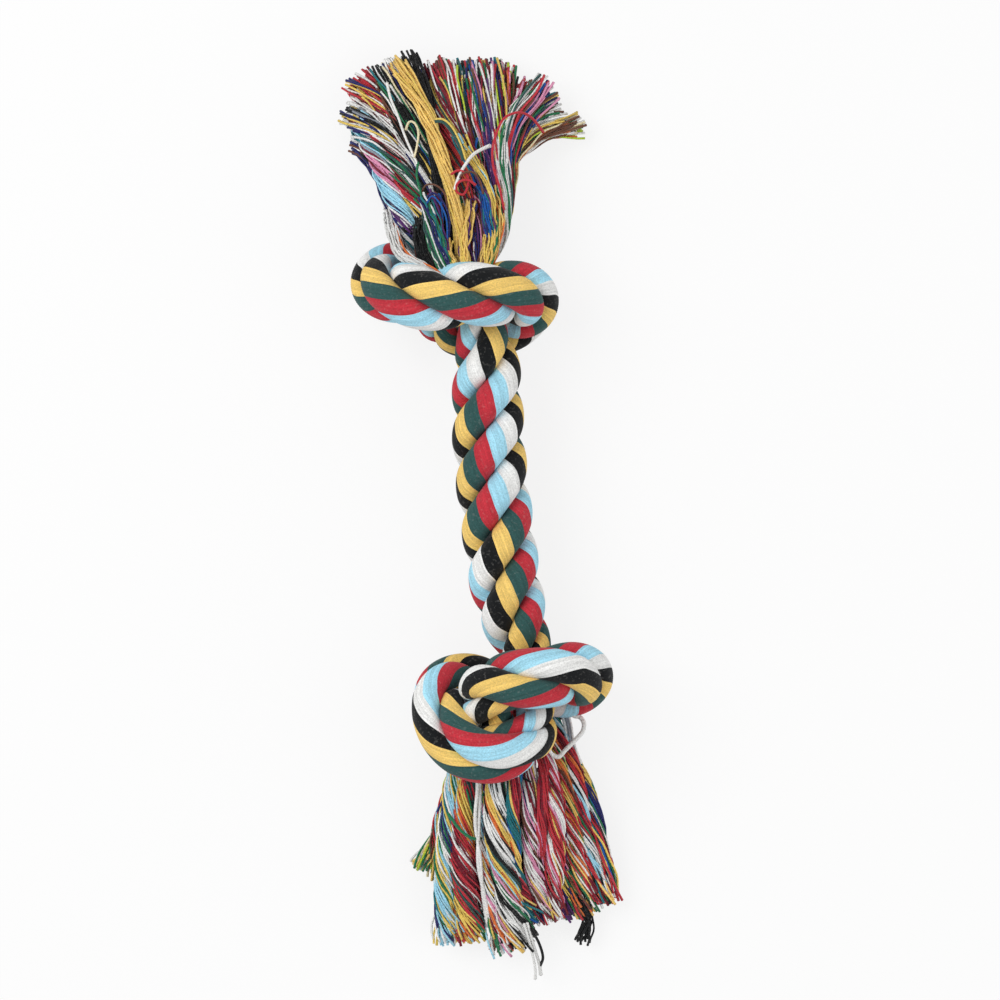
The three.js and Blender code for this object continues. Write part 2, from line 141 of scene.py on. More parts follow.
# Colours of the cotton, as red, green and blue from 0 to 255 on a screen
PALETTE = {
    "black": (19, 21, 23), "mustard": (243, 205, 116), "bottle": (50, 86, 84), "red": (194, 52, 64),
    "sky": (166, 220, 240), "white": (238, 238, 236), "yellow": (238, 206, 104), "green": (38, 120, 80),
    "royal": (28, 92, 172), "navy": (40, 42, 104), "pink": (226, 152, 186), "brown": (112, 72, 56),
    "orange": (226, 120, 62), "lime": (190, 214, 66), "maroon": (122, 26, 46), "purple": (92, 48, 112),
    "teal": (34, 120, 130), "grey": (152, 158, 168), "cream": (234, 222, 184),
}


def linear(rgb):
    """Screen colour to linear light, by the sRGB curve."""
    share = np.asarray(rgb, float) / 255
    return np.where(share <= 0.04045, share / 12.92, ((share + 0.055) / 1.055) ** 2.4)


def unit(vectors):
    """Vectors at length one."""
    return vectors / np.linalg.norm(vectors, axis=-1, keepdims=True)


def through(points, steps):
    """Centripetal Catmull-Rom curve through the points, with an equal count of steps in each span."""
    points = np.asarray(points, float)
    ends = np.vstack([2 * points[0] - points[1], points, 2 * points[-1] - points[-2]])
    before, here, there, after = ends[:-3], ends[1:-2], ends[2:-1], ends[3:]

    def root(first, second):
        return np.sqrt(np.linalg.norm((second - first)[:, :3], axis=1, keepdims=True))

    d0, d1, d2 = root(before, here), root(here, there), root(there, after)
    leave = ((here - before) / d0 - (there - before) / (d0 + d1) + (there - here) / d1) * d1
    arrive = ((there - here) / d1 - (after - here) / (d1 + d2) + (after - there) / d2) * d1
    t = np.linspace(0, 1, steps, endpoint=False)[None, :, None]
    here, there, leave, arrive = (a[:, None, :] for a in (here, there, leave, arrive))
    curve = (
        here
        + leave * t
        + (-3 * here + 3 * there - 2 * leave - arrive) * t**2
        + (2 * here - 2 * there + leave + arrive) * t**3
    )
    curve[..., 3:] = (here + (there - here) * t)[..., 3:]
    return np.vstack([curve.reshape(-1, points.shape[1]), points[-1:]])


def lengths_along(points):
    """Length of a line of points up to each of them."""
    steps = np.linalg.norm(np.diff(points[:, :3], axis=0), axis=1)
    return np.concatenate([[0], np.cumsum(steps)])


def at_lengths(lengths, known, values):
    """Columns of values read between their known lengths."""
    flat = np.ravel(lengths)
    read = np.stack([np.interp(flat, known, column) for column in values.T], -1)
    return read.reshape(np.shape(lengths) + (values.shape[1],))


def beside_knot(route, knot_y):
    """Route points in rope diameters as places in metres, with what follows the place kept."""
    route = np.asarray(route, float)
    places = route[:, :3] * ROPE_DIAMETER + (KNOT_X, knot_y, -REST_DEPTH)
    return np.hstack([places, route[:, 3:]])


def rope_frames():
    """The rope's centreline at even steps with its bends evened out, its fullness, its direction, and a
    normal that is carried along it and turns no more than the bends make it."""
    shaft = np.array(SHAFT_ROUTE)
    shaft[:, 1] *= KNOT_SPAN / ROPE_DIAMETER
    upper = beside_knot(UPPER_KNOT_ROUTE, UPPER_KNOT_Y)
    lower = beside_knot(LOWER_KNOT_ROUTE, LOWER_KNOT_Y)
    chosen = np.vstack([upper, beside_knot(shaft, KNOT_MIDDLE_Y), lower])
    dense = through(chosen, ROUTE_SPAN_STEPS)
    known = lengths_along(dense)
    steps = int(round(known[-1] / ROUTE_STEP))
    even = at_lengths(np.linspace(0, known[-1], steps + 1), known, dense)
    for _ in range(ROUTE_EASING):
        even[1:-1] = (even[:-2] + 2 * even[1:-1] + even[2:]) / 4
    centre = even[:, :3]
    tangent = unit(np.gradient(centre, axis=0))
    normal = np.zeros_like(tangent)
    carried = np.array(UP)
    for row, direction in enumerate(tangent):
        carried = unit(carried - direction * (carried @ direction))
        normal[row] = carried
    return lengths_along(centre), np.hstack([centre, even[:, 3:], tangent, normal])


ROPE_LENGTHS, ROPE_FRAMES = rope_frames()
ROPE_LENGTH = ROPE_LENGTHS[-1]

# Oval section of a strand: it touches its neighbours on planes 60 degrees to each side
TOUCHING_SHARE = math.hypot(math.sin(math.pi / 3), STRAND_SPREAD * math.cos(math.pi / 3))
STRAND_DEPTH = ROPE_DIAMETER / 2 / (1 + TOUCHING_SHARE / math.sin(math.pi / 3))
STRAND_WIDTH = STRAND_DEPTH * STRAND_SPREAD
HELIX_RADIUS = ROPE_DIAMETER / 2 - STRAND_DEPTH


def oval_angles(arc):
    """Angles on the strand's oval at which the given shares of its girth, in radians, are reached."""
    angle = np.linspace(0, 2 * np.pi, OVAL_STEPS + 1)
    oval = np.stack([STRAND_DEPTH * np.cos(angle), STRAND_WIDTH * np.sin(angle)], -1)
    girth = lengths_along(oval)
    turns, rest = np.divmod(arc, 2 * np.pi)
    return 2 * np.pi * turns + np.interp(rest, girth * 2 * np.pi / girth[-1], angle)


def lay_turn(lengths):
    """Turns of the lay from the start of the rope, in radians."""
    known, eased = np.array(LAY_EASE).T
    return 2 * np.pi * lengths / LAY_LENGTH + np.interp(lengths, known * MM, eased)


def strand_centres(strand, lengths):
    """Middle of a strand: a helix round the rope's centreline, and the outward and sideways directions."""
    centre, full, tangent, normal = np.split(at_lengths(lengths, ROPE_LENGTHS, ROPE_FRAMES), (3, 4, 7), -1)
    tangent = unit(tangent)
    normal = unit(normal - tangent * (normal * tangent).sum(-1, keepdims=True))
    binormal = np.cross(tangent, normal)
    turn = lay_turn(lengths)[:, None] + 2 * np.pi * strand / len(STRAND_NAMES)
    outward = np.cos(turn) * normal + np.sin(turn) * binormal
    sideways = np.cos(turn) * binormal - np.sin(turn) * normal
    return centre + HELIX_RADIUS * full * outward, outward, sideways, full


def outer_sliver(strand, lengths):
    """Which sliver of a strand faces out from the rope at each length, counted along STRIPES."""
    known = [length * MM for length, _ in STRIPE_EASE]
    eased = np.interp(lengths, known, [turned[strand] for _, turned in STRIPE_EASE])
    return STRIPE_START[strand] - STRIPES_PER_TURN * lay_turn(lengths) / (2 * np.pi) + eased


def tube_faces(tubes, rings, sides):
    """Corners of the quads round open tubes, with each corner's ring and side."""
    ring, side = (a.ravel() for a in np.meshgrid(np.arange(rings - 1), np.arange(sides), indexing="ij"))
    rings_of = np.stack([ring, ring, ring + 1, ring + 1], -1)
    sides_of = np.stack([side, side + 1, side + 1, side], -1)
    one = rings_of * sides + sides_of % sides
    first = np.arange(tubes) * rings * sides
    return (one[None] + first[:, None, None]).reshape(-1, 4), rings_of, sides_of


def make_piece(name, points, faces, uvs, colours, material):
    """Mesh object from points and groups of faces, with a UV place and a colour for every corner."""
    mesh = bpy.data.meshes.new(name)
    corners = np.concatenate([group.ravel() for group in faces])
    counts = np.concatenate([np.full(len(group), group.shape[1]) for group in faces])
    starts = np.concatenate([[0], np.cumsum(counts)[:-1]])
    mesh.vertices.add(len(points))
    mesh.vertices.foreach_set("co", points.astype(np.float32).ravel())
    mesh.loops.add(len(corners))
    mesh.loops.foreach_set("vertex_index", corners.astype(np.int32))
    mesh.polygons.add(len(counts))
    mesh.polygons.foreach_set("loop_start", starts.astype(np.int32))
    mesh.polygons.foreach_set("use_smooth", np.ones(len(counts), bool))
    mesh.update(calc_edges=True)
    layer = mesh.uv_layers.new(name="yarn")
    layer.uv.foreach_set("vector", np.vstack(uvs).astype(np.float32).ravel())
    rgb = np.vstack(colours)
    rgba = np.hstack([rgb, np.ones((len(rgb), 1))])
    attribute = mesh.color_attributes.new("cotton", "FLOAT_COLOR", "CORNER")
    attribute.data.foreach_set("color", rgba.astype(np.float32).ravel())
    mesh.validate()
    mesh.materials.append(material)
    piece = bpy.data.objects.new(name, mesh)
    bpy.context.scene.collection.objects.link(piece)
    return piece


def strand_yarns(random):
    """Linear colour of each yarn round a strand."""
    slivers = np.array([linear(PALETTE[stripe]) for stripe in STRIPES])
    tint = random.uniform(*STRIPE_TINT, (len(STRIPES) * YARNS_PER_STRIPE, 1))
    return np.repeat(slivers, YARNS_PER_STRIPE, axis=0) * tint


def strand_piece(name, strand, start, stop, yarn_rgb, material):
    """A length of one strand. Its columns follow the yarns, which turn against the lay, so a column's
    place on the oval is its own angle less the angle of the sliver that faces out. Every second column
    lies in the groove between two yarns."""
    rows = int(round((stop - start) / ROW_STEP)) + 1
    lengths = np.linspace(start, stop, rows)
    centre, outward, sideways, full = strand_centres(strand, lengths)
    column = np.arange(COLUMNS)
    sliver = len(STRIPES) * column / COLUMNS
    arc = (outer_sliver(strand, lengths)[:, None] - sliver) * 2 * np.pi / len(STRIPES)
    angle = oval_angles(arc - OUTER_CROWDING * np.sin(arc))
    groove = np.where(column % COLUMNS_PER_YARN == 0, YARN_GROOVE, 0)
    size = (STRAND_GIRTH - groove / STRAND_DEPTH) * full
    points = (
        centre[:, None]
        + (STRAND_DEPTH * size * np.cos(angle))[..., None] * outward[:, None]
        + (STRAND_WIDTH * size * np.sin(angle))[..., None] * sideways[:, None]
    )
    points[..., 2] = np.maximum(points[..., 2], 0)
    quads, rings, sides = tube_faces(1, rows, COLUMNS)
    quads, rings, sides = (a[:, [0, 3, 2, 1]] for a in (quads, rings, sides))
    ends = rows * COLUMNS + np.stack([column, COLUMNS + column[::-1]])
    yarn = sides.min(1) // COLUMNS_PER_YARN
    uv = np.stack([sides / COLUMNS_PER_YARN, lengths[rings] / ROW_STEP], -1).reshape(-1, 2)
    return make_piece(
        name,
        np.vstack([points.reshape(-1, 3), points[0], points[-1]]),
        [quads, ends],
        [uv, np.zeros((ends.size, 2))],
        [np.repeat(yarn_rgb[yarn], 4, axis=0), np.tile(yarn_rgb[0], (ends.size, 1))],
        material,
    )


def tubes_along(lines, radius, sides, pitch):
    """Closed tubes along lines of points, an array of tubes by rings by places: each ring is a circle
    round its line, and the last ones widen."""
    tubes, rings, _ = lines.shape
    tangent = unit(np.gradient(lines, axis=1))
    across = unit(np.cross(tangent, UP) + UPRIGHT_NUDGE)
    upright = np.cross(tangent, across)
    angle = 2 * np.pi * np.arange(sides) / sides
    fray = 1 + YARN_FRAY * np.linspace(0, 1, rings) ** YARN_FRAY_POWER
    size = (np.broadcast_to(radius, (tubes, 1)) * fray)[..., None, None]
    points = (
        lines[:, :, None]
        + size * np.cos(angle)[:, None] * across[:, :, None]
        + size * np.sin(angle)[:, None] * upright[:, :, None]
    )
    quads, rings_of, sides_of = tube_faces(tubes, rings, sides)
    first = (np.arange(tubes) * rings * sides)[:, None]
    ends = np.vstack([first + np.arange(sides)[::-1], first + (rings - 1) * sides + np.arange(sides)])
    steps = np.linalg.norm(np.diff(lines, axis=1), axis=2)
    along = np.concatenate([np.zeros((tubes, 1)), np.cumsum(steps, axis=1)], axis=1)
    around = np.tile(sides_of / sides, (tubes, 1)).reshape(tubes, -1)
    quad_uv = np.stack([around, along[:, rings_of.ravel()] / pitch], -1).reshape(-1, 2)
    return points.reshape(-1, 3), [quads, ends], [quad_uv, np.zeros((ends.size, 2))]


YARN_RADIUS = 0.31 * MM
YARN_GIRTH = (0.88, 1.15)  # the thinnest and the thickest yarn, as shares of that radius
YARN_TINT = (0.86, 1.06)  # the darkest and the lightest yarn of a colour
YARN_LOWEST = 1.1 * YARN_RADIUS  # how low the middle of a yarn may lie
YARN_SIDES = 4
YARN_RINGS = 30
YARN_FILL = 0.8  # share of a lock's section that its yarns fill
YARN_JITTER = 0.03  # share of a turn by which a yarn leaves its even place round a lock
YARN_RIPPLE = 0.26 * MM
YARN_RIPPLES = (2, 6)  # the fewest and the most ripples along a yarn
YARN_WANDER = 0.9 * MM  # how far a yarn's tip leaves its place in the lock
YARN_WANDERS = (0.6, 2)  # the fewest and the most turns of that
YARN_FRAY = 0.3  # how much wider a yarn is at its cut end
YARN_FRAY_POWER = 12  # the higher, the nearer to its end a yarn widens
PLY_PITCH = 2.2 * MM
GOLDEN_TURN = (3 - math.sqrt(5)) / 2
LOCK_FLATNESS = 0.85  # height of a lock over its width
LOCK_ROOT = 0.45  # how wide a lock is at its root
LOCK_RAGGED = 0.14  # share of a lock's length by which its shortest yarns fall short
LOCK_FLARE = 0.25  # how much wider a lock is at its tip
LOCK_FLARE_POWER = 6  # the higher, the nearer to its tip a lock flares
LOCK_SPLAY = 0.8 * MM


def bundle_lines(route, radius, turns, random, flat=LOCK_FLATNESS):
    """Lines of the yarns in a lock, and their places round it in turns from its top. They fill a disc
    evenly, as seeds fill a sunflower, and turn left-handed along the lock's curve. The lock is narrow at
    its root and flares at its cut tip, and each yarn ripples and wanders by sines."""
    yarns = int(YARN_FILL * (radius / YARN_RADIUS) ** 2)
    curve = through(route, ROUTE_SPAN_STEPS)
    known = lengths_along(curve)
    tangent = unit(np.gradient(curve, axis=0))
    share = np.linspace(0, 1, YARN_RINGS) * (1 - LOCK_RAGGED * random.uniform(0, 1, (yarns, 1)) ** 2)
    centre = at_lengths(share * known[-1], known, curve)
    direction = unit(at_lengths(share * known[-1], known, tangent))
    across = unit(np.cross(direction, UP))
    upright = np.cross(across, direction)
    seed = np.arange(yarns) + 0.5
    around = np.mod(seed * GOLDEN_TURN + random.uniform(-YARN_JITTER, YARN_JITTER, yarns), 1)
    place = np.sqrt(seed / yarns)[:, None]
    swing = 2 * np.pi * (around[:, None] - turns * share)
    swell = LOCK_ROOT + (1 - LOCK_ROOT) * np.sin(np.pi / 2 * np.minimum(1, 2 * share))
    flare = share**LOCK_FLARE_POWER
    reach = radius * place * (swell + LOCK_FLARE * flare)
    sway = random.normal(0, 1, (2, yarns, 1)) * LOCK_SPLAY * flare
    ripple_phase = random.uniform(0, 2 * np.pi, (2, yarns, 1))
    ripples = random.uniform(*YARN_RIPPLES, (yarns, 1))
    ripple = YARN_RIPPLE * np.sin(2 * np.pi * share * ripples + ripple_phase)
    wander_phase = random.uniform(0, 2 * np.pi, (2, yarns, 1))
    wanders = random.uniform(*YARN_WANDERS, (yarns, 1))
    wander = np.sin(2 * np.pi * share * wanders + wander_phase)
    loose = sway + YARN_WANDER * share**2 * wander
    lines = (
        centre
        + (reach * np.sin(swing) + loose[0] + ripple[0])[..., None] * across
        + (flat * (reach * np.cos(swing) + loose[1]) + ripple[1])[..., None] * upright
    )
    lines[..., 2] = np.maximum(lines[..., 2], YARN_LOWEST)
    return lines, around


def bundle_colours(recipe, around, random):
    """Linear colours of a lock's yarns: each takes the colour at its place round the lock in the recipe's
    order, after it strays from that place."""
    stray, colours = recipe
    rgb = np.array([linear(PALETTE[colour]) for colour in colours.split()])
    strayed = around + random.normal(0, stray, len(around))
    drawn = np.floor(strayed * len(rgb)).astype(int) % len(rgb)
    return rgb[drawn] * random.uniform(*YARN_TINT, (len(around), 1))


def stray_line(route):
    """The line of one yarn along its own curve."""
    curve = through(route, ROUTE_SPAN_STEPS)
    known = lengths_along(curve)
    return at_lengths(np.linspace(0, known[-1], YARN_RINGS), known, curve)[None]


def yarn_piece(name, bundles, material, random):
    """One mesh of all the yarns in the given bundles of lines, colours and radius."""
    lines = np.concatenate([bundle[0] for bundle in bundles])
    rgb = np.concatenate([bundle[1] for bundle in bundles])
    radius = np.concatenate([np.full((len(bundle[0]), 1), bundle[2]) for bundle in bundles])
    radius *= random.uniform(*YARN_GIRTH, radius.shape)
    points, faces, uvs = tubes_along(lines, radius, YARN_SIDES, PLY_PITCH)
    quad_rgb = np.repeat(rgb, 4 * (YARN_RINGS - 1) * YARN_SIDES, axis=0)
    end_rgb = np.repeat(np.vstack([rgb, rgb]), YARN_SIDES, axis=0)
    return make_piece(name, points, faces, uvs, [quad_rgb, end_rgb], material)


# Materials: spans of the noises, and the tones that they give
NOISE_SPAN = (0.3, 0.7)
STREAK_STRETCH = (2.2, 0.12, 1.0)
STREAK_TONE = (0.85, 1.13)
FUZZ_TONE = (0.8, 1.2)
NEP_SPAN = (0.58, 0.76)
NEP_SHARE = (0.0, 0.09)
NEP_COLOUR = (0.62, 0.6, 0.56, 1.0)
MATTE = {"Roughness": 0.92, "Specular IOR Level": 0.18, "Sheen Weight": 0.1, "Sheen Roughness": 0.5}


def node(tree, kind, **values):
    """A node in a tree, with values for its properties and, by name, for its inputs."""
    made = tree.nodes.new(kind)
    for key, value in values.items():
        if key in made.inputs:
            made.inputs[key].default_value = value
        else:
            setattr(made, key, value)
    return made


def linker(tree):
    """A function that joins an output of one node in a tree to an input of another."""

    def link(source, output, target, place):
        tree.links.new(source.outputs[output], target.inputs[place])

    return link


def map_range(tree, span, result):
    """A node that maps a span of values onto a span of results."""
    ends = dict(zip(("From Min", "From Max", "To Min", "To Max"), span + result))
    return node(tree, "ShaderNodeMapRange", **ends)


def cotton_group():
    """Cotton fibre: streaks along the yarn, fine fuzz and a few pale neps. Along is the place along and
    across the yarns, and Height feeds a bump."""
    tree = bpy.data.node_groups.new("cotton_fibre", "ShaderNodeTree")
    for socket, kind in (("Color", "NodeSocketColor"), ("Along", "NodeSocketVector")):
        tree.interface.new_socket(socket, in_out="INPUT", socket_type=kind)
    for socket, kind in (("Color", "NodeSocketColor"), ("Height", "NodeSocketFloat")):
        tree.interface.new_socket(socket, in_out="OUTPUT", socket_type=kind)
    link = linker(tree)
    inside = node(tree, "NodeGroupInput")
    outside = node(tree, "NodeGroupOutput")
    place = node(tree, "ShaderNodeTexCoord")
    stretch = node(tree, "ShaderNodeMapping", Scale=STREAK_STRETCH)
    streak = node(tree, "ShaderNodeTexNoise", Scale=1.0, Detail=4.0, Roughness=0.6)
    fuzz = node(tree, "ShaderNodeTexNoise", Scale=1900.0, Detail=3.0, Roughness=0.7)
    nep = node(tree, "ShaderNodeTexNoise", Scale=1000.0, Detail=1.0)
    link(inside, "Along", stretch, "Vector")
    link(stretch, "Vector", streak, "Vector")
    link(place, "Object", fuzz, "Vector")
    link(place, "Object", nep, "Vector")
    streak_tone = map_range(tree, NOISE_SPAN, STREAK_TONE)
    fuzz_tone = map_range(tree, NOISE_SPAN, FUZZ_TONE)
    nep_mask = map_range(tree, NEP_SPAN, NEP_SHARE)
    link(streak, "Fac", streak_tone, "Value")
    link(fuzz, "Fac", fuzz_tone, "Value")
    link(nep, "Fac", nep_mask, "Value")
    tone = node(tree, "ShaderNodeMath", operation="MULTIPLY")
    link(streak_tone, "Result", tone, 0)
    link(fuzz_tone, "Result", tone, 1)
    toned = node(tree, "ShaderNodeVectorMath", operation="SCALE")
    link(inside, "Color", toned, 0)
    link(tone, "Value", toned, "Scale")
    pale = node(tree, "ShaderNodeMix", data_type="RGBA")
    pale.inputs["B"].default_value = NEP_COLOUR
    link(nep_mask, "Result", pale, "Factor")
    link(toned, "Vector", pale, "A")
    height = node(tree, "ShaderNodeMath", operation="ADD")
    link(streak, "Fac", height, 0)
    link(fuzz, "Fac", height, 1)
    link(pale, "Result", outside, "Color")
    link(height, "Value", outside, "Height")
    return tree


def cotton_material(name, fibre, ply):
    """Matte cotton whose colour is the piece's own, with the twist of a plied yarn in its bump where
    ply is set: bands that run slantwise round the yarn's UV."""
    material = bpy.data.materials.new(name)
    material.use_nodes = True
    tree = material.node_tree
    link = linker(tree)
    shader = tree.nodes["Principled BSDF"]
    for socket, value in MATTE.items():
        shader.inputs[socket].default_value = value
    colour = node(tree, "ShaderNodeAttribute", attribute_name="cotton")
    along = node(tree, "ShaderNodeUVMap", uv_map="yarn")
    cotton = node(tree, "ShaderNodeGroup", node_tree=fibre)
    bump = node(tree, "ShaderNodeBump", Strength=0.5, Distance=0.25 * MM)
    link(colour, "Color", cotton, "Color")
    link(along, "UV", cotton, "Along")
    link(cotton, "Color", shader, "Base Color")
    link(bump, "Normal", shader, "Normal")
    if ply:
        twist = node(tree, "ShaderNodeTexWave", Scale=1.0, Distortion=0.6, bands_direction="DIAGONAL")
        both = node(tree, "ShaderNodeMath", operation="ADD")
        link(along, "UV", twist, "Vector")
        link(twist, "Fac", both, 0)
        link(cotton, "Height", both, 1)
        link(both, "Value", bump, "Height")
    else:
        link(cotton, "Height", bump, "Height")
    return material


FIBRE = cotton_group()
STRAND_COTTON = cotton_material("striped_cotton", FIBRE, ply=False)
YARN_COTTON = cotton_material("cotton_yarn", FIBRE, ply=True)

# Camera straight above, turned as the toy lies across the picture
PICTURE_WIDTH = 326.4 * MM
PICTURE_MIDDLE = (-0.65 * MM, 1.6 * MM, 25 * MM)
PICTURE_TURN = math.radians(-8.13)
LENS = 150.0
SENSOR = 36.0
camera_data = bpy.data.cameras.new("camera")
camera_data.lens = LENS
camera_data.sensor_width = SENSOR
camera = bpy.data.objects.new("camera", camera_data)
camera.location = PICTURE_MIDDLE
camera.location.z += PICTURE_WIDTH * LENS / SENSOR
camera.rotation_euler = (0, 0, PICTURE_TURN)
bpy.context.scene.collection.objects.link(camera)
bpy.context.scene.camera = camera

# Rope: each strand in four lengths, which meet at the bends and at the middle of the rope
JOINTS = {joint["name"]: np.array(joint["pos_m"]) for joint in frame["joints"]}
CORD_STEP = 4 * MM
STRAND_TRIM = 8 * MM  # the last of each strand, inside the knot, is loose yarn
ROPE_SEED = 11


def rope_length_at(y):
    """Length along the rope at which its straight run between the knots passes the given Y."""
    straight = np.abs(ROPE_FRAMES[:, 1] - KNOT_MIDDLE_Y) < KNOT_SPAN / 4
    return np.interp(-y, -ROPE_FRAMES[straight, 1], ROPE_LENGTHS[straight])


def make_rope():
    """The three strands: knot lengths from each bend to the strand's trimmed end in the knot, and shaft
    lengths from each bend to the middle of the rope."""
    random = np.random.default_rng(ROPE_SEED)
    yarns = [strand_yarns(random) for _ in STRAND_NAMES]
    middle = rope_length_at(KNOT_MIDDLE_Y)
    for end, outwards, rope_end in (("upper", 1, STRAND_TRIM), ("lower", -1, ROPE_LENGTH - STRAND_TRIM)):
        bend = JOINTS[f"{end}_bend_side"]
        at_bend = rope_length_at(bend[1])
        for strand, letter in enumerate(STRAND_NAMES):
            shaft_span = sorted((middle, at_bend))
            knot_span = sorted((rope_end, at_bend))
            shaft_name = f"{end}_shaft_{letter}"
            shaft = strand_piece(shaft_name, strand, *shaft_span, yarns[strand], STRAND_COTTON)
            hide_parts(f"shaft_strand_{letter}")
            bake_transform(shaft)
            knot = strand_piece(f"{end}_knot_{letter}", strand, *knot_span, yarns[strand], STRAND_COTTON)
            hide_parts(f"{end}_knot_strand_{letter}", f"{end}_bend_strand_{letter}")
            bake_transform(knot)
            steps = int((knot_span[1] - knot_span[0]) / CORD_STEP)
            path = strand_centres(strand, np.linspace(at_bend, rope_end, steps))[0]


# Tassels: colours of the yarns in their order round a lock from its top, after how far a yarn strays from
# its place in that order, as a share of a turn
MIXED = (1.0, "white white red red green royal yellow maroon pink brown orange teal black purple lime "
    "white")
# Painted shade: dark yarns for wide locks that lie under the others and stand for the shaded depth between
# the locks. The unlaid strand ends in the tassels' roots take these dark yarns too.
DARK = (1.0, "navy brown maroon black bottle black purple black")
BLACK = (1.0, "black")
DRAPE = (0.03, "white white white white orange white maroon white black white white white white white "
    "grey white white white cream white")
NAVY = (0.3, "navy brown black navy grey brown navy royal black brown white")
SKY = (0.04, "pink white maroon sky grey sky teal sky white navy white purple white navy white sky sky "
    "sky sky sky sky white pink maroon")
WHITE_GREEN_RED = (0.04, "yellow black grey white white black white yellow white red maroon red orange "
    "green white green bottle black red brown white red white navy")
REDS = (0.1, "red maroon red white red orange maroon brown red white red navy maroon yellow red maroon "
    "bottle red white maroon")
BLACK_AND_WHITE = (0.05, "black black white black navy black white black brown black green white black "
    "black teal black white maroon black black")
BLACK_AND_GREEN = (0.05, "black green white black brown yellow black royal white green black navy cream "
    "black orange black brown white black green")
GREEN = (0.03, "green white navy green white teal purple maroon royal brown navy black green green "
    "bottle green green white green bottle")
YELLOW = (1.0, "mustard mustard yellow mustard mustard yellow mustard mustard mustard yellow mustard "
    "mustard")
RED_AND_GREEN = (0.06, "red white yellow brown red maroon white green red bottle red orange red brown "
    "white red maroon yellow bottle maroon")
GREEN_LINES = (0.3, "bottle lime white red navy green yellow brown white bottle maroon white red black")
YELLOW_LOOP = (0.1, "mustard yellow purple mustard white navy mustard brown mustard purple mustard "
    "yellow")
BLUE = (0.05, "royal teal navy royal yellow teal royal purple yellow sky royal green yellow maroon navy "
    "brown")
NAVY_LINES = (0.3, "navy white green brown royal maroon yellow red pink white green maroon red black")
PINK_AND_WHITE = (0.1, "white pink maroon red white maroon pink navy red pink white purple navy yellow "
    "white red")
PURPLE = (0.1, "purple maroon white navy purple pink maroon brown red purple navy yellow green maroon")
LIME_LINES = (0.3, "lime red white pink maroon green white navy yellow lime black brown red white pink "
    "orange")
YELLOW_LINED = (0.08, "mustard yellow brown mustard green mustard orange yellow maroon mustard lime "
    "mustard brown yellow")
BROWN_AND_RED = (0.3, "brown red white green pink white brown red orange maroon")
LIME = (0.2, "white cream lime brown white yellow green cream lime brown white orange lime cream")
FAN = (0.3, "royal navy green pink white red brown bottle teal yellow red green white brown maroon "
    "white")
GREEN_AND_WHITE = (0.04, "white red white white pink white green white green white bottle red red brown "
    "royal pink navy green white maroon")
RED = (0.2, "red red red maroon red red red red white red pink red")
PASTEL = (0.3, "yellow cream green white sky mustard maroon white lime brown red yellow")
SKY_AND_YELLOW = (0.04, "white green sky yellow sky white yellow sky green yellow sky sky white sky "
    "teal yellow sky navy green white")
RED_AND_YELLOW = (0.04, "red maroon white red maroon red bottle red yellow green yellow red orange sky "
    "yellow red maroon white red maroon")
WHITE_AND_PINK = (0.05, "white yellow white black white sky pink orange white maroon green yellow white "
    "pink sky white brown orange white red")
WHITE = (0.03, "pink white green white black white white white black white white yellow mustard orange "
    "black white white white black white bottle yellow sky orange")
TEAL_TWIST = (0.03, "yellow orange navy royal teal red white maroon red red maroon red yellow mustard "
    "green teal bottle teal teal royal yellow mustard")
MAUVE = (0.04, "pink white white pink mustard brown white maroon white brown navy white navy pink brown "
    "white brown black white pink mustard white")
PINK_TWIST = (0.04, "red red white mustard white red pink red pink white red maroon white yellow red "
    "white red pink white red mustard red red")
OLIVE = (0.3, "brown green orange mustard white red sky brown red yellow orange green red white")
SKY_AND_RED = (0.04, "teal white sky black sky red maroon white orange black red red sky white sky "
    "black sky red maroon red green navy red white")
YELLOW_AND_GREEN = (0.04, "red white orange black mustard teal green mustard yellow white maroon navy "
    "white green red royal white maroon red yellow royal green red mustard")

# Pixels of the picture, which is 1000 by 1000, as millimetres on the toy, which lies turned in it
KNOT_PIXEL = (455, 290)  # on the middle line of the upper knot
KNOT_PIXEL_ALONG = 1.0  # how far outwards from the knot's middle that pixel lies
PIXEL_STRAIGHT = 0.3231  # how far one pixel goes in the toy's own direction
PIXEL_SLANT = 0.04615  # how far it goes across that, because the toy lies turned
PICKS_PER_MM = 2  # a place picked on the picture is good to half a millimetre

